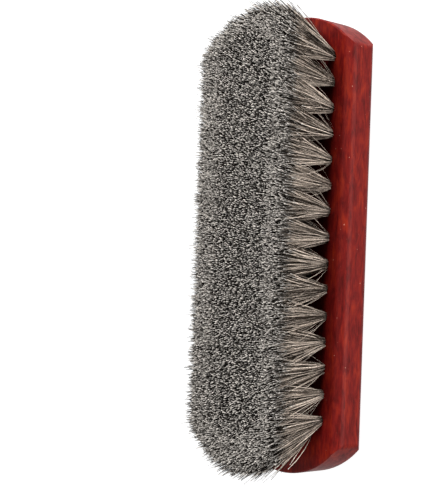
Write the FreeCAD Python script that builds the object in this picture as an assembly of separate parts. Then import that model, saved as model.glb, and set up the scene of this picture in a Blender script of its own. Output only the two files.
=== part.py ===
import FreeCAD, Part
import math
import os

# Shoe shine brush: a one-piece wooden block drilled with blind holes, a tuft of
# horsehair folded into each hole, and a flat wire anchor that holds each fold.
# Millimetres. The brush lies on its back with +X along its length, towards the
# toe, +Y to the left and +Z up the hair. The origin is in the middle of the back.

# Wooden block
block_length = 172.0
block_width = 52.5
block_thickness = 15.5
end_bow = 12.3            # how far an end's middle stands ahead of its corners
face_edge_radius = 4.0    # long edges beside the hair
back_edge_radius = 5.0    # long edges that lie in the hand
back_rim_radius = 2.0     # rims of the ends at the back
corner_spare = 0.8        # how much rounder the upright corners are than those rims
face_rim_ease = 0.5       # crisp rims of the ends beside the hair, lightly broken

# Drilled field
field_offset = 2.3        # the field is drilled off centre, towards the toe
field_end_margin = 10.3   # block end to the end tufts, before that offset
field_side_margin = 8.65  # block side to the outer rows
field_bow = 8.85          # how far the field's end stands ahead of its corners
least_pitch = 9.5         # closest that tufts stand along a row
row_count = 5
end_tuft_count = 4        # tufts on each end, between the two corner tufts

# Holes and hair
hole_diameter = 3.2
hole_floor = 4.5          # wood left under each hole
root_clearance = 0.05     # hair bundle to the hole's wall and floor
bristle_height = 28.0     # hair that stands above the block
tip_gap = 0.5             # between the trimmed tips of neighbouring tufts
end_splay = 3.5           # how far the end tufts lean outward at their tips
sideways_share = 0.4      # how much of that splay's sideways part they keep
fan_share = 0.04          # how far the other tips fan out along the length

# Wire anchors
anchor_thickness = 0.4
anchor_height = 1.8
anchor_bite = 0.5         # each end of the anchor is driven this far into the wood
anchor_lift = 1.0         # folded hair between the anchor and the hole's floor
anchor_clearance = 0.03

overrun = 1.0             # how far a shape that trims another reaches past it
same_level = 0.001        # heights closer than this count as one

UP = FreeCAD.Vector(0, 0, 1)
BLOCK_NODE = "brush_block"
ANCHOR_NODE = "wire_anchors"

half_length = block_length / 2
half_width = block_width / 2
corner_radius = back_rim_radius + corner_spare
hole_radius = hole_diameter / 2
tip_level = block_thickness + bristle_height
anchor_length = hole_diameter + 2 * anchor_bite
anchor_level = hole_floor + anchor_lift

field_half_width = half_width - field_side_margin
field_end = half_length - field_end_margin
corner_x = field_end - field_bow
row_spacing = 2 * field_half_width / (row_count - 1)
outer_count = 1 + math.floor(2 * corner_x / least_pitch)
pitch = 2 * corner_x / (outer_count - 1)
end_radius = (field_half_width ** 2 + field_bow ** 2) / (2 * field_bow)
end_centre_x = field_end - end_radius
corner_angle = math.atan2(field_half_width, corner_x - end_centre_x)


def point(x, y, z):
    return FreeCAD.Vector(x, y, z)


def line(first, last):
    return Part.LineSegment(first, last).toShape()


def arc(first, middle, last):
    return Part.Arc(first, middle, last).toShape()


def upright_edges(body):
    """The straight edges that stand along Z."""
    straight = [edge for edge in body.Edges if isinstance(edge.Curve, Part.Line)]
    return [edge for edge in straight if edge.BoundBox.ZLength > edge.Length / 2]


def rim_edges(body, level):
    """The edges that run round a body at one level."""
    return [edge for edge in body.Edges if abs(edge.CenterOfMass.z - level) < same_level]


def long_edges(body, level):
    """The edges along X at one level."""
    return [edge for edge in rim_edges(body, level) if edge.BoundBox.XLength > edge.Length / 2]


def block_plan():
    """The block's outline from above, raised: straight sides, bowed ends, soft corners."""
    side_x = half_length - end_bow
    toe_left = point(side_x, half_width, 0)
    toe_right = point(side_x, -half_width, 0)
    heel_left = point(-side_x, half_width, 0)
    heel_right = point(-side_x, -half_width, 0)
    outline = Part.Wire([
        line(heel_right, toe_right),
        arc(toe_right, point(half_length, 0, 0), toe_left),
        line(toe_left, heel_left),
        arc(heel_left, point(-half_length, 0, 0), heel_right),
    ])
    body = Part.Face(outline).extrude(UP * block_thickness)
    body = body.makeFillet(corner_radius, upright_edges(body))
    body = body.makeFillet(back_rim_radius, rim_edges(body, 0))
    return body.makeChamfer(face_rim_ease, rim_edges(body, block_thickness))


def block_bar():
    """The block's cross-section drawn out past both ends, with its long edges rounded."""
    start = point(-half_length - overrun, -half_width, 0)
    bar = Part.makeBox(block_length + 2 * overrun, block_width, block_thickness, start)
    bar = bar.makeFillet(face_edge_radius, long_edges(bar, block_thickness))
    return bar.makeFillet(back_edge_radius, long_edges(bar, 0))


def block_body():
    """The block before drilling: what its outline and its cross-section share."""
    return block_plan().common(block_bar())


def row_roots(row):
    """Roots of one straight row; every other row stands half a pitch between."""
    count = outer_count - abs(row) % 2
    first_x = -pitch * (count - 1) / 2
    return [(first_x + index * pitch, row * row_spacing) for index in range(count)]


def end_roots():
    """Roots on the toe's arc from its right to its left, without the corners."""
    step = 2 * corner_angle / (end_tuft_count + 1)
    angles = [-corner_angle + step * (index + 1) for index in range(end_tuft_count)]
    return [
        (end_centre_x + end_radius * math.cos(angle), end_radius * math.sin(angle))
        for angle in angles
    ]


def on_end_arc(root):
    """True for a root on the arc at either end, corner tufts included."""
    reach = math.hypot(abs(root[0]) - end_centre_x, root[1])
    return abs(root[0]) > corner_x - pitch / 2 and math.isclose(reach, end_radius)


def tip_of(root):
    """Where a tuft's tip stands: end tufts splay outward, the rest fan out."""
    x, y = root
    if not on_end_arc(root):
        return x * (1 + fan_share), y
    lean = end_splay / end_radius
    centre_x = math.copysign(end_centre_x, x)
    return x + (x - centre_x) * lean, y + y * lean * sideways_share


def tuft_nodes():
    """Roots of the tufts in each node, measured from the middle of the field."""
    outer = (row_count - 1) // 2
    nodes = {}
    for name, row in (("left", outer), ("right", -outer)):
        for index, root in enumerate(row_roots(row), start=1):
            nodes[f"tuft_{name}_{index:02d}"] = [root]
    for index, (x, y) in enumerate(end_roots(), start=1):
        nodes[f"tuft_toe_{index}"] = [(x, y)]
        nodes[f"tuft_heel_{index}"] = [(-x, y)]
    nodes["tufts_inner_left"] = [root for row in range(1, outer) for root in row_roots(row)]
    nodes["tufts_middle"] = row_roots(0)
    nodes["tufts_inner_right"] = [root for row in range(1, outer) for root in row_roots(-row)]
    return nodes


def circle(place, level, radius):
    """A level ring round a place in the drilled field."""
    centre = point(place[0] + field_offset, place[1], level)
    return Part.Wire(Part.makeCircle(radius, centre, UP))


def drilled_hole(root):
    hole = Part.Face(circle(root, hole_floor, hole_radius))
    return hole.extrude(UP * (block_thickness - hole_floor))


def anchor(root, clearance):
    """A flat anchor across a hole, or with a clearance the pocket that it sits in."""
    length = anchor_length + 2 * clearance
    thickness = anchor_thickness + 2 * clearance
    height = anchor_height + 2 * clearance
    corner = point(
        root[0] + field_offset - thickness / 2,
        root[1] - length / 2,
        anchor_level - clearance,
    )
    return Part.makeBox(thickness, length, height, corner)


def tip_radius(tip, tips):
    """Half of the room between a tip and its nearest neighbour, less the gap."""
    nearest = min(math.dist(tip, other) for other in tips if other != tip)
    return (nearest - tip_gap) / 2


def tuft(root, tips):
    """A tuft: a straight root in its hole, then a flare up to the trimmed tip."""
    root_radius = hole_radius - root_clearance
    tip = tip_of(root)
    rings = [
        circle(root, hole_floor + root_clearance, root_radius),
        circle(root, block_thickness, root_radius),
        circle(tip, tip_level, tip_radius(tip, tips)),
    ]
    return Part.makeLoft(rings, True, True).cut(anchor(root, anchor_clearance))


def write(node, solids):
    shape = solids[0] if len(solids) == 1 else Part.makeCompound(solids)
    shape.exportStep(f"parts/{node}.step")


def main():
    os.makedirs("parts", exist_ok=True)
    nodes = tuft_nodes()
    roots = [root for places in nodes.values() for root in places]
    tips = [tip_of(root) for root in roots]

    cutters = [drilled_hole(root) for root in roots]
    cutters += [anchor(root, anchor_clearance) for root in roots]
    write(BLOCK_NODE, block_body().cut(cutters).Solids)
    write(ANCHOR_NODE, [anchor(root, 0) for root in roots])
    for node, places in nodes.items():
        write(node, [tuft(root, tips) for root in places])
    print(len(roots), "tufts,", round(pitch, 2), "apart along a row")


main()
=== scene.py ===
import math
from collections import namedtuple

import bmesh
import bpy
import numpy as np
from mathutils import Matrix, Vector


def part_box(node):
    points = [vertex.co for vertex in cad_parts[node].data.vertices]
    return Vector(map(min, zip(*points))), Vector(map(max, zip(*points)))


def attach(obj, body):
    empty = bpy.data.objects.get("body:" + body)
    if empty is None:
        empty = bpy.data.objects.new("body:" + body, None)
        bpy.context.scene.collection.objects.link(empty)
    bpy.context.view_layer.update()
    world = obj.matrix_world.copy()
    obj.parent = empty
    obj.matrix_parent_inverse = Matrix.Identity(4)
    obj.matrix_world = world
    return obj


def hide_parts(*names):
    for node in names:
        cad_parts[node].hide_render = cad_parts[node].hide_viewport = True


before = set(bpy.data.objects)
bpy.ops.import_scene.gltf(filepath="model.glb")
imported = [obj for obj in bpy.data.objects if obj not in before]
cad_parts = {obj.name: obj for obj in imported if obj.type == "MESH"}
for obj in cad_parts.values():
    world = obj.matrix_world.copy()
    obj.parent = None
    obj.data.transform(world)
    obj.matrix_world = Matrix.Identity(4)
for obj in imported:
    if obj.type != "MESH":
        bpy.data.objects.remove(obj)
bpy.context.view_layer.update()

bl_info = {
    "name": "Shoe Shine Brush",
    "version": (1, 0, 0),
    "blender": (4, 5, 0),
    "location": "View3D > Sidebar > Shine Brush",
    "description": "Dresses the drilled block of a shoe shine brush with wood, wire and horsehair",
    "category": "Object",
}

# How a kind of tuft looks: hairs in a clump, how many of them are pale, how far their tips stand apart,
# and stray hairs of the tuft.
Look = namedtuple("Look", "hairs pale cling strays")

BODY = "root"
BLOCK_NODE = "brush_block"
ANCHOR_NODE = "wire_anchors"
INNER_NODES = sorted(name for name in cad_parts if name.startswith("tufts_"))
OUTER_NODES = sorted(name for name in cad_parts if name.startswith("tuft_"))
SEED = 41

# The hair map's name. Tone runs across it, one column for each tone, and the hair's length runs
# up it. These shares lay one hair out in its column: half its width, its root, its length and its roundness.
HAIR_MAP = "OFBake"
TONE_COLUMNS = 64
MAP_HALF_WIDTH = 0.4
MAP_ROOT = 0.03
MAP_LENGTH = 0.94
MAP_ROUNDNESS = 0.02

# Places up the hair map, from low on the hair to its tip. The tip's own tones blend in just below it.
LOW_PLACE = 0.35
HIGH_PLACE = 0.85
TIP_BLEND_PLACE = 0.885
BELOW_TIP_PLACES = (0.925, 0.944)
TIP_PLACE = 0.965

# Tones run from 0 to 1. The first hairs of each clump are pale ones, and pale hairs are the thicker ones.
PALE_TONE = 0.66
LAST_TONE = 0.999
OUTER_PALE_HAIRS = 2
INNER_PALE_HAIRS = 1
PALE_WIDTH_SHARE = 1.35
DARK_WIDTH_SHARE = 0.85

# Each set of tones says where dark ends, where grey starts and ends, and where light starts.
TIP_TONES = (0.60, 0.65, 0.67, 0.72)
OUTER_TONES = (0.15, 0.30, 0.56, 0.80)

# Each set of shades is painted shade: the brightness at the root, low, high and below the tip, darker where
# neighbouring hairs shadow a hair, and nearly black below the tips of the inner rows. A glint value is the
# brightness of a hair's dull stretches between its painted glints, whose pattern repeats this often across
# each column and along the hair.
OUTER_SHADES = (0.75, 0.9, 0.95, 0.45)
INNER_SHADES = (0.03, 0.05, 0.06, 0.08)
OUTER_GLINT = 0.4
INNER_GLINT = 0.6
GLINTS_ACROSS = 3.0
GLINTS_ALONG = 30.0

# A hair is a thin prism, narrower at its ends, with a few cuts along it so that it can bow.
STRAND_SIDES = 3
OUTER_CUTS = 2
INNER_CUTS = 1
END_WIDTH_SHARE = 0.75
TAPER_START = 0.1
TAPER_SPAN = 0.8

# How widths spread, and the thinnest and thickest hair, as shares of the usual width.
WIDTH_SPREAD = 0.3
THINNEST = 0.5
THICKEST = 1.5

# Hairs along the edges are finer, and none sticks out by more than this many times the usual fray.
EDGE_THINNING = 0.25
FRAY_LIMIT = 2.2

# Stray hairs come from the edge of a tuft, and this share of them leans towards the nearer end of the brush.
# The shortest reach is a share of the longest. The way outward, the drop and the bow are shares of a reach.
STRAY_EDGE = 0.6
STRAY_TOWARDS_END = 0.8
STRAY_SHORTEST = 0.2
STRAY_OUTWARD = 0.15
STRAY_DROP = 0.3
STRAY_BOW = 0.12
STRAY_WIDTH_SHARE = 0.45
STRAY_TONE = 0.7

# Scales of the wood's figure along, across and up the block, per metre, and the depth of its pores.
CLOUD_SCALE = (110.0, 300.0, 300.0)
STREAK_SCALE = (200.0, 1100.0, 1100.0)
PORE_SCALE = (260.0, 2600.0, 2600.0)
SPECK_SCALE = (900.0, 1100.0, 1100.0)
PORE_DEPTH = 0.0002

# Scale of the wire's draw lines, per metre, and how dark they are.
DRAW_LINE_SCALE = (9000.0, 400.0, 9000.0)
DRAW_LINE_SHADE = 0.7

# The painted shade between the tufts ends this much earlier along the length than the tufts do. It fades out
# over a share of the field's half width, and downwards over a share of the block's thickness.
SHADE_MARGIN = 0.005
SHADE_FADE = (0.1, 0.58)
SHADE_DEPTH = (0.5, 0.7)

# The studio's brightest side, its brightness from the far side to that one, and its strength.
SKY_SIDE = (0.95, -0.2, 0.25)
SKY_LEVELS = ((0.3, 0.48), (0.6, 0.55), (0.8, 1.0), (1.0, 1.2))
SKY_STRENGTH = 1.4

# The floor reaches this far each way, and lies just below the back so that the two don't share a plane.
FLOOR_REACH = 3.0
FLOOR_GAP = 0.0002

block_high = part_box(BLOCK_NODE)[1]
HALF_LENGTH = block_high.x
FACE_LEVEL = block_high.z

# Outline of the trimmed tips: straight sides, and at each end a smooth curve through five points, given by
# their places across the width, which both ends share, and along the length.
TRIM_LEFT = 0.0235
TRIM_RIGHT = -0.022
TRIM_ACROSS = (TRIM_RIGHT, -0.012, 0.0, 0.012, TRIM_LEFT)
TOE_TRIM = (0.0790, 0.0838, 0.0833, 0.0788, 0.0698)
HEEL_TRIM = (-0.0775, -0.0823, -0.0835, -0.0793, -0.0685)


class HairSettings(bpy.types.PropertyGroup):
    """Sizes and colours of the horsehair tufts"""

    spacing: bpy.props.FloatProperty(
        name="Clump spacing", description="From one clump of tips to the next", default=0.00076,
        unit="LENGTH", precision=5)
    scatter: bpy.props.FloatProperty(
        name="Scatter", description="How far clumps leave an even spacing, as a share of it", default=0.15,
        subtype="FACTOR")
    mingle: bpy.props.FloatProperty(
        name="Mingle", description="How far clumps of neighbouring tufts stand among each other",
        default=0.0005, unit="LENGTH", precision=5)
    inner_hairs: bpy.props.IntProperty(
        name="Inner hairs", description="Hairs in one clump of an inner row", default=3, min=1)
    outer_hairs: bpy.props.IntProperty(
        name="Outer hairs", description="Hairs in one clump of an outer tuft", default=6, min=1)
    inner_cling: bpy.props.FloatProperty(
        name="Inner cling", description="How far tips of an inner row stand from the first of their clump",
        default=0.00025, unit="LENGTH", precision=5)
    outer_cling: bpy.props.FloatProperty(
        name="Outer cling", description="How far tips of an outer tuft stand from the first of their clump",
        default=0.0004, unit="LENGTH", precision=5)
    width: bpy.props.FloatProperty(
        name="Hair width", description="Thickness of one hair", default=0.00023, unit="LENGTH", precision=5)
    edge_band: bpy.props.FloatProperty(
        name="Edge band", description="Width of the strip along the edges where tips fray", default=0.0034,
        unit="LENGTH", precision=4)
    fray: bpy.props.FloatProperty(
        name="Fray", description="How far tips stick out along the edges", default=0.0019, unit="LENGTH",
        precision=5)
    tangle: bpy.props.FloatProperty(
        name="Tangle", description="How far roots leave the order of their tips, as a share of the hole",
        default=0.2, subtype="FACTOR")
    pinch: bpy.props.FloatProperty(
        name="Root pinch", description="Width of a tuft at its hole, as a share of its solid's root",
        default=0.8, subtype="FACTOR")
    sunk: bpy.props.FloatProperty(
        name="Root depth", description="How deep the hairs start in their hole", default=0.0015,
        unit="LENGTH")
    uneven: bpy.props.FloatProperty(
        name="Uneven trim", description="How far tips stand above or below the trim", default=0.0005,
        unit="LENGTH", precision=5)
    proud: bpy.props.FloatProperty(
        name="Pale tips", description="How far pale tips stand above dark ones", default=0.0004,
        unit="LENGTH", precision=5)
    edge_drop: bpy.props.FloatProperty(
        name="Edge drop", description="How far tips along the edges fall short of the trim", default=0.0022,
        unit="LENGTH", precision=4)
    bend: bpy.props.FloatProperty(
        name="Bend", description="How far a hair bows to one side", default=0.00045, unit="LENGTH",
        precision=5)
    strays: bpy.props.IntProperty(
        name="Stray hairs", description="Loose hairs that leave an outer tuft", default=9, min=0)
    stray_reach: bpy.props.FloatProperty(
        name="Stray reach", description="How far a stray hair's tip leaves its tuft", default=0.010,
        unit="LENGTH", precision=4)
    dark: bpy.props.FloatVectorProperty(
        name="Dark hair", description="Colour of the darkest hairs", subtype="COLOR",
        default=(0.010, 0.007, 0.005))
    middle: bpy.props.FloatVectorProperty(
        name="Grey hair", description="Colour of the grey-brown hairs", subtype="COLOR",
        default=(0.08, 0.067, 0.056))
    light: bpy.props.FloatVectorProperty(
        name="Light hair", description="Colour of the palest hairs", subtype="COLOR",
        default=(0.95, 0.885, 0.81))
    # The warmth is partly painted red light thrown back by the wood onto the hairs below their tips, and
    # partly the hairs' own beige.
    warm: bpy.props.FloatVectorProperty(
        name="Warmth", description="Tint of the hairs below their tips", subtype="COLOR",
        default=(1.0, 0.90, 0.82))


class BlockSettings(bpy.types.PropertyGroup):
    """Colours and finish of the varnished block"""

    deep: bpy.props.FloatVectorProperty(
        name="Deep stain", description="Darkest streaks of the stain", subtype="COLOR",
        default=(0.0465, 0.0022, 0.0023))
    stain: bpy.props.FloatVectorProperty(
        name="Stain", description="Main colour of the stain", subtype="COLOR",
        default=(0.125, 0.0056, 0.0049))
    warm: bpy.props.FloatVectorProperty(
        name="Warm streaks", description="Lightest streaks of the stain", subtype="COLOR",
        default=(0.206, 0.0145, 0.0055))
    speck: bpy.props.FloatVectorProperty(
        name="Specks", description="Colour of the few pale specks", subtype="COLOR",
        default=(0.55, 0.25, 0.18))
    gloss: bpy.props.FloatProperty(
        name="Varnish", description="Weight of the clear varnish", default=0.11, subtype="FACTOR")
    # Painted shade: how bright the wood stays between and beside the tufts, where the hair would shadow it.
    painted_field_shade: bpy.props.FloatProperty(
        name="Field shade", description="Brightness of the dull wood between the tufts", default=0.2,
        subtype="FACTOR")


class WireSettings(bpy.types.PropertyGroup):
    """Finish of the flat wire anchors"""

    colour: bpy.props.FloatVectorProperty(
        name="Wire", description="Colour of the drawn wire", subtype="COLOR", default=(0.55, 0.54, 0.52))


class StageSettings(bpy.types.PropertyGroup):
    """Floor, light and camera"""

    floor: bpy.props.FloatVectorProperty(
        name="Floor", description="Colour of the floor", subtype="COLOR", default=(0.25, 0.25, 0.25))
    glow: bpy.props.FloatProperty(
        name="Floor glow", description="Light that the lit floor gives of itself", default=0.9,
        subtype="FACTOR")
    view_angle: bpy.props.FloatProperty(
        name="View from upright", description="Camera's turn from straight above towards the right side",
        default=math.radians(47.37), subtype="ANGLE")
    view_tilt: bpy.props.FloatProperty(
        name="Camera tilt", description="Camera's lean along the brush", default=math.radians(-1.872),
        subtype="ANGLE")
    view_roll: bpy.props.FloatProperty(
        name="Camera roll", description="Camera's turn about its own axis", default=math.radians(-2.242),
        subtype="ANGLE")
    distance: bpy.props.FloatProperty(
        name="Distance", description="Camera to the aim point", default=0.45857, unit="LENGTH")
    aim_height: bpy.props.FloatProperty(
        name="Aim height", description="Aim point above the floor", default=0.02278, unit="LENGTH")
    aim_right: bpy.props.FloatProperty(
        name="Right of centre", description="How far the brush stands to the right in the picture",
        default=0.02262, unit="LENGTH")
    aim_up: bpy.props.FloatProperty(
        name="Above centre", description="How far the brush stands above the middle of the picture",
        default=0.001745, unit="LENGTH")
    lens: bpy.props.FloatProperty(
        name="Lens", description="Focal length in millimetres on a 36 mm sensor", default=89.19)
    light_aim: bpy.props.FloatVectorProperty(
        name="Light aim", description="Point that both lights face", subtype="TRANSLATION",
        default=(0, 0, 0.02))
    key_place: bpy.props.FloatVectorProperty(
        name="Key light", description="Place of the large light on the right side", subtype="TRANSLATION",
        default=(0.05, -0.90, -0.30))
    key_size: bpy.props.FloatProperty(
        name="Key size", description="Width of the large light", default=0.8, unit="LENGTH")
    key_power: bpy.props.FloatProperty(
        name="Key power", description="Power of the large light", default=5.9, unit="POWER")
    back_place: bpy.props.FloatVectorProperty(
        name="Toe light", description="Place of the small light past the toe", subtype="TRANSLATION",
        default=(0.80, -0.30, 0.50))
    back_size: bpy.props.FloatProperty(
        name="Toe light size", description="Width of the small light", default=0.3, unit="LENGTH")
    back_power: bpy.props.FloatProperty(
        name="Toe light power", description="Power of the small light", default=9.8, unit="POWER")


def vertex_places(node_name):
    """Places of a CAD node's vertices, one row each."""
    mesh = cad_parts[node_name].data
    places = np.empty(len(mesh.vertices) * 3, np.float32)
    mesh.vertices.foreach_get("co", places)
    return places.reshape(-1, 3).astype(float)


def tuft_places(node_name):
    """Root centre and tip centre of each tuft in a CAD node, in order along X."""
    places = vertex_places(node_name)
    heights = places[:, 2]
    level_share = 0.01
    margin = level_share * np.ptp(heights)
    roots = places[heights < heights.min() + margin][:, :2]
    tips = places[heights > heights.max() - margin][:, :2]
    roots = roots[roots[:, 0].argsort()]
    tip_radius = np.ptp(tips[:, 1]) / 2
    breaks = np.flatnonzero(np.diff(roots[:, 0]) > tip_radius / 2) + 1
    root_centres = [(ring.min(0) + ring.max(0)) / 2 for ring in np.split(roots, breaks)]
    tip_x = np.linspace(tips[:, 0].min() + tip_radius, tips[:, 0].max() - tip_radius, len(root_centres))
    tip_y = (tips[:, 1].min() + tips[:, 1].max()) / 2
    return [(root, np.array((x, tip_y))) for root, x in zip(root_centres, tip_x)]


TUFTS = {name: tuft_places(name) for name in (*OUTER_NODES, *INNER_NODES)}
ALL_TIPS = np.array([tip for tufts in TUFTS.values() for _, tip in tufts])
FIELD_SIDE = abs(ALL_TIPS[:, 1]).max()
FIELD_MIDDLE = ALL_TIPS[:, 0].mean()
FIELD_STRAIGHT = np.ptp(ALL_TIPS[:, 0]) / 2 - FIELD_SIDE
first_tuft = vertex_places(OUTER_NODES[0])
ROOT_RADIUS = np.ptp(first_tuft[first_tuft[:, 2] < FACE_LEVEL / 2][:, 1]) / 2
TIP_LEVEL = first_tuft[:, 2].max()


def new_material(name):
    """A new material, its node tree and its surface shader."""
    material = bpy.data.materials.new(name)
    material.use_nodes = True
    tree = material.node_tree
    tree.nodes.clear()
    output = tree.nodes.new("ShaderNodeOutputMaterial")
    shader = tree.nodes.new("ShaderNodeBsdfPrincipled")
    tree.links.new(shader.outputs["BSDF"], output.inputs["Surface"])
    return material, tree, shader


def ramp(tree, factor, stops):
    """A colour ramp of (position, colour) stops on a factor socket."""
    made = tree.nodes.new("ShaderNodeValToRGB")
    elements = made.color_ramp.elements
    while len(elements) < len(stops):
        elements.new(0.5)
    for element, (position, colour) in zip(elements, stops):
        element.position = position
        element.color = (*colour, 1.0)
    tree.links.new(factor, made.inputs["Fac"])
    return made.outputs["Color"]


def grey(value):
    return (value, value, value)


def mix(tree, factor, first, second, blend="MIX"):
    """A colour mix of two sockets or colours."""
    made = tree.nodes.new("ShaderNodeMix")
    made.data_type = "RGBA"
    made.blend_type = blend
    made.clamp_factor = True
    for socket, value in ((made.inputs[0], factor), (made.inputs[6], first), (made.inputs[7], second)):
        if isinstance(value, bpy.types.NodeSocket):
            tree.links.new(value, socket)
        elif socket.type == "RGBA":
            socket.default_value = (*value, 1.0)
        else:
            socket.default_value = value
    return made.outputs[2]


def grain(tree, coordinates, scale, detail=3.0, roughness=0.55, distortion=0.0):
    """Noise on some coordinates, with its scale per axis."""
    mapping = tree.nodes.new("ShaderNodeMapping")
    mapping.inputs["Scale"].default_value = scale
    tree.links.new(coordinates, mapping.inputs["Vector"])
    noise = tree.nodes.new("ShaderNodeTexNoise")
    noise.inputs["Scale"].default_value = 1.0
    noise.inputs["Detail"].default_value = detail
    noise.inputs["Roughness"].default_value = roughness
    noise.inputs["Distortion"].default_value = distortion
    tree.links.new(mapping.outputs["Vector"], noise.inputs["Vector"])
    return noise.outputs["Fac"]


def maths(tree, operation, first, second=0.0):
    """A math node on sockets or numbers."""
    made = tree.nodes.new("ShaderNodeMath")
    made.operation = operation
    for socket, value in zip(made.inputs, (first, second)):
        if isinstance(value, bpy.types.NodeSocket):
            tree.links.new(value, socket)
        else:
            socket.default_value = value
    return made.outputs[0]


def painted_shade_mask(tree, coordinates):
    """Where the painted shade goes: white over the drilled field, a strip with rounded ends on the face, and
    black elsewhere.
    """
    split = tree.nodes.new("ShaderNodeSeparateXYZ")
    tree.links.new(coordinates, split.inputs["Vector"])
    along = maths(tree, "ABSOLUTE", maths(tree, "SUBTRACT", split.outputs["X"], FIELD_MIDDLE))
    past = maths(tree, "MAXIMUM", maths(tree, "SUBTRACT", along, FIELD_STRAIGHT - SHADE_MARGIN))
    past_square = maths(tree, "POWER", past, 2.0)
    across_square = maths(tree, "POWER", split.outputs["Y"], 2.0)
    distance = maths(tree, "SQRT", maths(tree, "ADD", past_square, across_square))
    inside = maths(tree, "SUBTRACT", 1.0, maths(tree, "DIVIDE", distance, FIELD_SIDE))
    fade_from, fade_to = SHADE_FADE
    strip = ramp(tree, maths(tree, "ADD", inside, 0.5), [(fade_from, grey(0.0)), (fade_to, grey(1.0))])
    height = maths(tree, "DIVIDE", split.outputs["Z"], FACE_LEVEL)
    depth_from, depth_to = SHADE_DEPTH
    face_side = ramp(tree, height, [(depth_from, grey(0.0)), (depth_to, grey(1.0))])
    return mix(tree, 1.0, strip, face_side, "MULTIPLY")


def varnished_wood(block):
    """Red-stained close-grained wood under a satin varnish, grain along the block, and painted shade on the
    face between and beside the tufts.
    """
    material, tree, shader = new_material("stained_wood")
    place = tree.nodes.new("ShaderNodeTexCoord").outputs["Object"]
    clouds = grain(tree, place, CLOUD_SCALE, detail=5.0, roughness=0.62, distortion=0.6)
    streaks = grain(tree, place, STREAK_SCALE, detail=4.0, roughness=0.6, distortion=0.15)
    pores = grain(tree, place, PORE_SCALE, detail=2.0, roughness=0.5)
    specks = grain(tree, place, SPECK_SCALE, detail=1.0)
    figure = mix(tree, 0.4, clouds, streaks)
    stain = ramp(tree, figure, [(0.34, block.deep), (0.5, block.stain), (0.64, block.warm)])
    pore_mask = ramp(tree, pores, [(0.60, grey(0.0)), (0.72, grey(0.5))])
    stain = mix(tree, pore_mask, stain, block.deep)
    speck_mask = ramp(tree, specks, [(0.775, grey(0.0)), (0.80, grey(0.8))])
    stain = mix(tree, speck_mask, stain, block.speck)
    # Painted shade: darkens the face between and beside the tufts, where the hair would shadow it.
    shade = mix(tree, painted_shade_mask(tree, place), grey(1.0), grey(block.painted_field_shade))
    tree.links.new(mix(tree, 1.0, stain, shade, "MULTIPLY"), shader.inputs["Base Color"])
    shine = ramp(tree, figure, [(0.35, grey(0.46)), (0.65, grey(0.34))])
    tree.links.new(shine, shader.inputs["Roughness"])
    bump = tree.nodes.new("ShaderNodeBump")
    bump.inputs["Strength"].default_value = 0.1
    bump.inputs["Distance"].default_value = PORE_DEPTH
    tree.links.new(pores, bump.inputs["Height"])
    tree.links.new(bump.outputs["Normal"], shader.inputs["Normal"])
    shader.inputs["Specular IOR Level"].default_value = 0.04
    shader.inputs["Specular Tint"].default_value = (1.0, 0.72, 0.5, 1.0)
    shader.inputs["Coat Weight"].default_value = block.gloss
    shader.inputs["Coat Roughness"].default_value = 0.25
    return material


def drawn_wire(wire):
    """Flattened steel wire with fine draw lines along its length."""
    material, tree, shader = new_material("drawn_wire")
    place = tree.nodes.new("ShaderNodeTexCoord").outputs["Object"]
    lines = grain(tree, place, DRAW_LINE_SCALE, detail=2.0)
    darker = tuple(channel * DRAW_LINE_SHADE for channel in wire.colour)
    tree.links.new(ramp(tree, lines, [(0.35, darker), (0.65, wire.colour)]), shader.inputs["Base Color"])
    tree.links.new(ramp(tree, lines, [(0.3, grey(0.45)), (0.7, grey(0.3))]), shader.inputs["Roughness"])
    shader.inputs["Metallic"].default_value = 1.0
    return material


def tone_ramp(tree, factor, hair, tones):
    """Hair colours over the tones: where the dark ends, the grey starts and ends, and the light starts."""
    dark, middle_from, middle_to, light = tones
    return ramp(tree, factor, [
        (dark, hair.dark), (middle_from, hair.middle), (middle_to, hair.middle), (light, hair.light)])


def horsehair(hair, name, tones, shades, glint):
    """Natural mixed horsehair: tone from across the hair map, painted shade and painted glints from root to
    tip up it.
    """
    material, tree, shader = new_material(name)
    split = tree.nodes.new("ShaderNodeSeparateXYZ")
    hair_map = tree.nodes.new("ShaderNodeUVMap")
    hair_map.uv_map = HAIR_MAP
    tree.links.new(hair_map.outputs["UV"], split.inputs["Vector"])
    below_from, below_to = BELOW_TIP_PLACES
    side_tone = tone_ramp(tree, split.outputs["X"], hair, tones)
    tip_tone = tone_ramp(tree, split.outputs["X"], hair, TIP_TONES)
    tip_mask = ramp(tree, split.outputs["Y"], [(TIP_BLEND_PLACE, grey(0.0)), (below_from, grey(1.0))])
    tone = mix(tree, tip_mask, side_tone, tip_tone)
    # The warmth tints the painted shade below the tips: partly painted red bounce light from the wood, partly
    # the hairs' own beige.
    warm = Vector(hair.warm)
    root, low, high, below_tip = shades
    # Painted shade up the hair: darker at the root and just below the tip, where neighbouring hairs would
    # shadow it, and full brightness at the tip.
    shade = ramp(tree, split.outputs["Y"], [
        (0.0, warm * root), (LOW_PLACE, warm * low), (HIGH_PLACE, warm * high), (below_from, grey(below_tip)),
        (below_to, grey(below_tip)), (TIP_PLACE, grey(1.0))])
    # Painted glints: bright stretches along each hair, with dull stretches between them.
    glint_scale = (GLINTS_ACROSS * TONE_COLUMNS, GLINTS_ALONG, 1.0)
    glints = grain(tree, hair_map.outputs["UV"], glint_scale, detail=1.0)
    glints = ramp(tree, glints, [(0.38, grey(glint)), (0.6, grey(1.0))])
    colour = mix(tree, 1.0, mix(tree, 1.0, tone, shade, "MULTIPLY"), glints, "MULTIPLY")
    tree.links.new(colour, shader.inputs["Base Color"])
    shader.inputs["Roughness"].default_value = 0.45
    shader.inputs["Specular IOR Level"].default_value = 0.05
    return material


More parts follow.
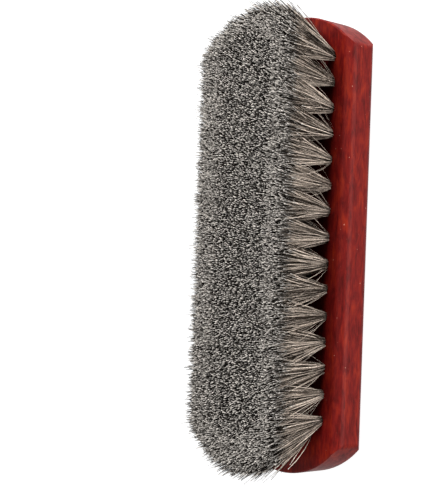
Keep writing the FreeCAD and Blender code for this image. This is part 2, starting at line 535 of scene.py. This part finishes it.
def trim_curve(trim, across):
    """Place of an end's trimmed edge along the length, for places across the width."""
    return np.polyval(np.polyfit(TRIM_ACROSS, trim, len(trim) - 1), across)


def edge_distance(places):
    """How far places lie inside the outline of the trimmed tips."""
    along, across = places[:, 0], places[:, 1]
    sides = np.minimum(across - TRIM_RIGHT, TRIM_LEFT - across)
    ends = np.minimum(trim_curve(TOE_TRIM, across) - along, along - trim_curve(HEEL_TRIM, across))
    return np.minimum(sides, ends)


def tip_clumps(hair):
    """Places of the clumps of tips, one array for each tuft: an uneven lattice, shared out to the tufts."""
    rng = np.random.default_rng(SEED)
    step = hair.spacing * math.sqrt(3) / 2
    along, across = np.meshgrid(
        np.arange(-HALF_LENGTH, HALF_LENGTH, hair.spacing), np.arange(TRIM_RIGHT, TRIM_LEFT, step))
    along[::2] += hair.spacing / 2
    places = np.stack([along.ravel(), across.ravel()], 1)
    places += rng.normal(0, hair.scatter * hair.spacing, places.shape)
    places = places[edge_distance(places) > 0]
    mixed = places + rng.normal(0, hair.mingle, places.shape)
    nearest = np.square(mixed[:, None] - ALL_TIPS[None]).sum(2).argmin(1)
    return [places[nearest == index] for index in range(len(ALL_TIPS))]


def unit(vectors):
    return vectors / np.linalg.norm(vectors, axis=1, keepdims=True)


def tuft_strands(root_centre, clumps, hair, look, rng):
    """Roots, tips, bends, tones and widths of one tuft's hairs."""
    order = np.repeat(np.arange(len(clumps)), look.hairs)
    count = len(order)
    spread = clumps - clumps.mean(0)
    spread /= np.hypot(spread[:, 0], spread[:, 1]).max()

    roots = np.empty((count, 3))
    disorder = rng.normal(0, hair.tangle, (count, 2))
    roots[:, :2] = root_centre + ROOT_RADIUS * hair.pinch * (spread[order] + disorder)
    roots[:, 2] = FACE_LEVEL - hair.sunk
    tips = np.empty((count, 3))
    rank = np.tile(np.arange(look.hairs), len(clumps))
    dark = rank >= look.pale
    tips[:, :2] = clumps[order] + rng.normal(0, look.cling, (count, 2)) * (rank > 0)[:, None]
    edge = np.clip(1 - edge_distance(clumps) / hair.edge_band, 0, 1)[order]
    out = unit(tips[:, :2] - root_centre)
    fray = np.abs(rng.normal(0, hair.fray, count)).clip(0, FRAY_LIMIT * hair.fray)
    tips[:, :2] += out * (fray * edge)[:, None]
    tips[:, 2] = TIP_LEVEL + rng.normal(0, hair.uneven, count) + np.where(dark, 0, hair.proud)
    tips[:, 2] -= np.abs(rng.normal(0, hair.edge_drop, count)) * edge
    bends = np.zeros((count, 3))
    bends[:, :2] = rng.normal(0, hair.bend, (count, 2))
    tones = np.where(dark, rng.uniform(0, PALE_TONE, count), rng.uniform(PALE_TONE, 1, count))
    widths = hair.width * np.exp(rng.normal(0, WIDTH_SPREAD, count)).clip(THINNEST, THICKEST)
    widths *= np.where(dark, DARK_WIDTH_SHARE, PALE_WIDTH_SHARE) * (1 - EDGE_THINNING * edge)
    if look.strays and abs(root_centre[0] - FIELD_MIDDLE) < FIELD_STRAIGHT:
        loose = rng.choice(np.flatnonzero(edge > STRAY_EDGE), look.strays, replace=False)
        towards_end = rng.uniform(0, 1, look.strays) < STRAY_TOWARDS_END
        way = math.copysign(1, root_centre[0]) * np.where(towards_end, 1, -1)
        reach = hair.stray_reach * rng.uniform(STRAY_SHORTEST, 1.0, look.strays)
        tips[loose, 0] += way * reach
        tips[loose, 1] += math.copysign(STRAY_OUTWARD, root_centre[1]) * reach
        tips[loose, 2] -= STRAY_DROP * reach
        bends[loose, 0] += STRAY_BOW * way * reach
        widths[loose] *= STRAY_WIDTH_SHARE
        tones[loose] = rng.uniform(STRAY_TONE, 1, look.strays)
    return roots, tips, bends, np.clip(tones, 0, LAST_TONE), widths


def strand_template(cuts):
    """One straight hair of unit radius and length, with its hair map."""
    bm = bmesh.new()
    bmesh.ops.create_cone(
        bm, cap_ends=True, segments=STRAND_SIDES, radius1=1.0, radius2=1.0, depth=1.0,
        matrix=Matrix.Translation((0, 0, 0.5)))
    upright = [edge for edge in bm.edges if edge.verts[0].co.z != edge.verts[1].co.z]
    bmesh.ops.subdivide_edges(bm, edges=upright, cuts=cuts, use_grid_fill=True)
    hair_map = bm.loops.layers.uv.new(HAIR_MAP)
    for face in bm.faces:
        for loop in face.loops:
            place = loop.vert.co
            across = 0.5 + MAP_HALF_WIDTH * place.x
            up = MAP_ROOT + MAP_LENGTH * place.z + MAP_ROUNDNESS * place.y
            loop[hair_map].uv = (across, up)
    mesh = bpy.data.meshes.new("hair_template")
    bm.to_mesh(mesh)
    bm.free()
    return mesh


def repeated(template, count, name):
    """A mesh of many copies of the template, one after another."""
    maker = bpy.data.objects.new("hair_maker", template)
    bpy.context.scene.collection.objects.link(maker)
    array = maker.modifiers.new("copies", "ARRAY")
    array.use_relative_offset = False
    array.count = count
    evaluated = maker.evaluated_get(bpy.context.evaluated_depsgraph_get())
    mesh = bpy.data.meshes.new_from_object(evaluated)
    mesh.name = name
    bpy.data.objects.remove(maker)
    return mesh


def shape_strands(mesh, template, strands):
    """Lays each copy of the template along its own hair and picks its tone."""
    roots, tips, bends, tones, widths = strands
    count = len(roots)
    section = np.array([vertex.co for vertex in template.vertices])
    along = section[:, 2]
    line = tips - roots
    axis = unit(line)
    turn = np.random.default_rng(SEED).normal(0, 1, (count, 3))
    side = unit(np.cross(axis, turn))
    across = np.cross(axis, side)
    swell = np.sin(math.pi * np.clip(along * TAPER_SPAN + TAPER_START, 0, 1))
    taper = END_WIDTH_SHARE + (1 - END_WIDTH_SHARE) * swell
    bow = 4 * along * (1 - along)
    places = roots[:, None] + line[:, None] * along[None, :, None]
    places += bends[:, None] * bow[None, :, None]
    radius = (widths[:, None] / 2 * taper[None])[..., None]
    places += radius * (section[None, :, :1] * side[:, None] + section[None, :, 1:2] * across[:, None])
    mesh.vertices.foreach_set("co", places.astype(np.float32).ravel())
    layer = mesh.uv_layers[HAIR_MAP]
    spots = np.empty(len(mesh.loops) * 2, np.float32)
    layer.uv.foreach_get("vector", spots)
    spots = spots.reshape(count, -1, 2)
    column = np.floor(tones * TONE_COLUMNS)
    spots[..., 0] = (spots[..., 0] + column[:, None]) / TONE_COLUMNS
    layer.uv.foreach_set("vector", spots.ravel())
    mesh.shade_smooth()
    mesh.update()


def plant_hair(node_name, clumps, template, material, hair, look):
    """The hair piece that stands for one CAD node's tufts."""
    first = list(TUFTS).index(node_name)
    rng = np.random.default_rng((SEED, first))
    before = sum(len(TUFTS[name]) for name in list(TUFTS)[:first])
    tufts = [
        tuft_strands(root, clumps[before + index], hair, look, rng)
        for index, (root, _) in enumerate(TUFTS[node_name])
    ]
    strands = [np.concatenate(values) for values in zip(*tufts)]
    mesh = repeated(template, len(strands[0]), "hair_" + node_name)
    shape_strands(mesh, template, strands)
    mesh.materials.clear()
    mesh.materials.append(material)
    piece = bpy.data.objects.new("hair_" + node_name, mesh)
    bpy.context.scene.collection.objects.link(piece)
    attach(piece, BODY)
    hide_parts(node_name)
    return piece


def coat_node(node_name, material):
    """Gives a CAD node a finer material."""
    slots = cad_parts[node_name].data.materials
    slots.clear()
    slots.append(material)


class SHINEBRUSH_OT_finish_block(bpy.types.Operator):
    """Stain and varnish the drilled block"""

    bl_idname = "shine_brush.finish_block"
    bl_label = "Finish Block"

    def execute(self, context):
        coat_node(BLOCK_NODE, varnished_wood(context.scene.shine_brush_block))
        return {"FINISHED"}


class SHINEBRUSH_OT_finish_anchors(bpy.types.Operator):
    """Give the wire anchors their drawn steel"""

    bl_idname = "shine_brush.finish_anchors"
    bl_label = "Finish Anchors"

    def execute(self, context):
        coat_node(ANCHOR_NODE, drawn_wire(context.scene.shine_brush_wire))
        return {"FINISHED"}


class SHINEBRUSH_OT_plant_outer_tufts(bpy.types.Operator):
    """Plant the hair of the two outer rows and both ends, one piece per tuft"""

    bl_idname = "shine_brush.plant_outer_tufts"
    bl_label = "Plant Outer Tufts"

    def execute(self, context):
        hair = context.scene.shine_brush_hair
        clumps = tip_clumps(hair)
        template = strand_template(OUTER_CUTS)
        material = horsehair(hair, "outer_horsehair", OUTER_TONES, OUTER_SHADES, OUTER_GLINT)
        look = Look(hair.outer_hairs, OUTER_PALE_HAIRS, hair.outer_cling, hair.strays)
        for name in OUTER_NODES:
            plant_hair(name, clumps, template, material, hair, look)
        bpy.data.meshes.remove(template)
        return {"FINISHED"}


class SHINEBRUSH_OT_plant_inner_rows(bpy.types.Operator):
    """Plant the hair of the inner rows, one piece per row"""

    bl_idname = "shine_brush.plant_inner_rows"
    bl_label = "Plant Inner Rows"

    def execute(self, context):
        hair = context.scene.shine_brush_hair
        clumps = tip_clumps(hair)
        template = strand_template(INNER_CUTS)
        material = horsehair(hair, "inner_horsehair", TIP_TONES, INNER_SHADES, INNER_GLINT)
        look = Look(hair.inner_hairs, INNER_PALE_HAIRS, hair.inner_cling, strays=0)
        for name in INNER_NODES:
            plant_hair(name, clumps, template, material, hair, look)
        bpy.data.meshes.remove(template)
        return {"FINISHED"}


def floor_material(colour, glow):
    """A pale floor that is lit evenly all over."""
    material, tree, shader = new_material("pale_floor")
    shader.inputs["Base Color"].default_value = (*colour, 1.0)
    shader.inputs["Roughness"].default_value = 0.6
    shader.inputs["Specular IOR Level"].default_value = 0.2
    shader.inputs["Emission Color"].default_value = (1.0, 1.0, 1.0, 1.0)
    shader.inputs["Emission Strength"].default_value = glow
    return material


def make_floor(stage):
    """The floor, which neither shades nor tints the brush."""
    bm = bmesh.new()
    below = Matrix.Translation((0, 0, -FLOOR_GAP))
    bmesh.ops.create_grid(bm, x_segments=1, y_segments=1, size=FLOOR_REACH, matrix=below)
    mesh = bpy.data.meshes.new("floor")
    bm.to_mesh(mesh)
    bm.free()
    mesh.materials.append(floor_material(stage.floor, stage.glow))
    floor = bpy.data.objects.new("floor", mesh)
    floor.visible_diffuse = False
    floor.visible_glossy = False
    floor.visible_shadow = False
    bpy.context.scene.collection.objects.link(floor)


def softbox(name, place, aim, size, power):
    """A square area light at a place, turned towards an aim point."""
    light = bpy.data.lights.new(name, "AREA")
    light.shape = "SQUARE"
    light.size = size
    light.energy = power
    lamp = bpy.data.objects.new(name, light)
    lamp.location = place
    lamp.rotation_euler = (Vector(aim) - Vector(place)).to_track_quat("-Z", "Y").to_euler()
    bpy.context.scene.collection.objects.link(lamp)


def make_camera(stage):
    """The camera, on the right side of the brush, with the toe at the top of the picture."""
    lean = stage.view_angle
    right = Vector((0, -math.cos(lean), -math.sin(lean)))
    up = Vector((1, 0, 0))
    back = Vector((0, -math.sin(lean), math.cos(lean)))
    facing = Matrix((right, up, back)).transposed()
    facing = facing @ Matrix.Rotation(-stage.view_tilt, 3, "X") @ Matrix.Rotation(-stage.view_roll, 3, "Z")
    data = bpy.data.cameras.new("camera")
    data.lens = stage.lens
    camera = bpy.data.objects.new("camera", data)
    place = Vector((0, 0, stage.aim_height))
    place += facing @ Vector((-stage.aim_right, -stage.aim_up, stage.distance))
    camera.matrix_world = Matrix.Translation(place) @ facing.to_4x4()
    bpy.context.scene.collection.objects.link(camera)
    bpy.context.scene.camera = camera


def make_world():
    """A white studio, brightest past the toe on the right side."""
    world = bpy.data.worlds.new("studio")
    world.use_nodes = True
    tree = world.node_tree
    background = tree.nodes["Background"]
    facing = tree.nodes.new("ShaderNodeVectorMath")
    facing.operation = "DOT_PRODUCT"
    facing.inputs[1].default_value = SKY_SIDE
    tree.links.new(tree.nodes.new("ShaderNodeTexCoord").outputs["Generated"], facing.inputs[0])
    share = maths(tree, "MULTIPLY", maths(tree, "ADD", facing.outputs["Value"], 1.0), 0.5)
    sky = ramp(tree, share, [(place, grey(level)) for place, level in SKY_LEVELS])
    tree.links.new(sky, background.inputs["Color"])
    background.inputs["Strength"].default_value = SKY_STRENGTH
    bpy.context.scene.world = world


class SHINEBRUSH_OT_set_stage(bpy.types.Operator):
    """Set the pale floor, the soft lights and the camera"""

    bl_idname = "shine_brush.set_stage"
    bl_label = "Set Stage"

    def execute(self, context):
        stage = context.scene.shine_brush_stage
        make_floor(stage)
        make_world()
        softbox("key", stage.key_place, stage.light_aim, stage.key_size, stage.key_power)
        softbox("back", stage.back_place, stage.light_aim, stage.back_size, stage.back_power)
        make_camera(stage)
        context.scene.view_settings.view_transform = "Standard"
        context.scene.cycles.denoising_prefilter = "NONE"
        return {"FINISHED"}


OPERATORS = (
    SHINEBRUSH_OT_finish_block,
    SHINEBRUSH_OT_finish_anchors,
    SHINEBRUSH_OT_plant_outer_tufts,
    SHINEBRUSH_OT_plant_inner_rows,
    SHINEBRUSH_OT_set_stage,
)


class SHINEBRUSH_PT_panel(bpy.types.Panel):
    """Lists the steps that dress the brush"""

    bl_idname = "SHINEBRUSH_PT_panel"
    bl_label = "Shine Brush"
    bl_space_type = "VIEW_3D"
    bl_region_type = "UI"
    bl_category = "Shine Brush"

    def draw(self, context):
        for operator in OPERATORS:
            self.layout.operator(operator.bl_idname)


SETTINGS = {
    "shine_brush_hair": HairSettings,
    "shine_brush_block": BlockSettings,
    "shine_brush_wire": WireSettings,
    "shine_brush_stage": StageSettings,
}


def register():
    for name, group in SETTINGS.items():
        bpy.utils.register_class(group)
        setattr(bpy.types.Scene, name, bpy.props.PointerProperty(type=group))
    for entry in (*OPERATORS, SHINEBRUSH_PT_panel):
        bpy.utils.register_class(entry)


def unregister():
    for entry in reversed((*OPERATORS, SHINEBRUSH_PT_panel)):
        bpy.utils.unregister_class(entry)
    for name, group in reversed(SETTINGS.items()):
        delattr(bpy.types.Scene, name)
        bpy.utils.unregister_class(group)


def main():
    register()
    bpy.ops.shine_brush.finish_block()
    bpy.ops.shine_brush.finish_anchors()
    bpy.ops.shine_brush.plant_outer_tufts()
    bpy.ops.shine_brush.plant_inner_rows()
    bpy.ops.shine_brush.set_stage()


if __name__ == "__main__":
    main()
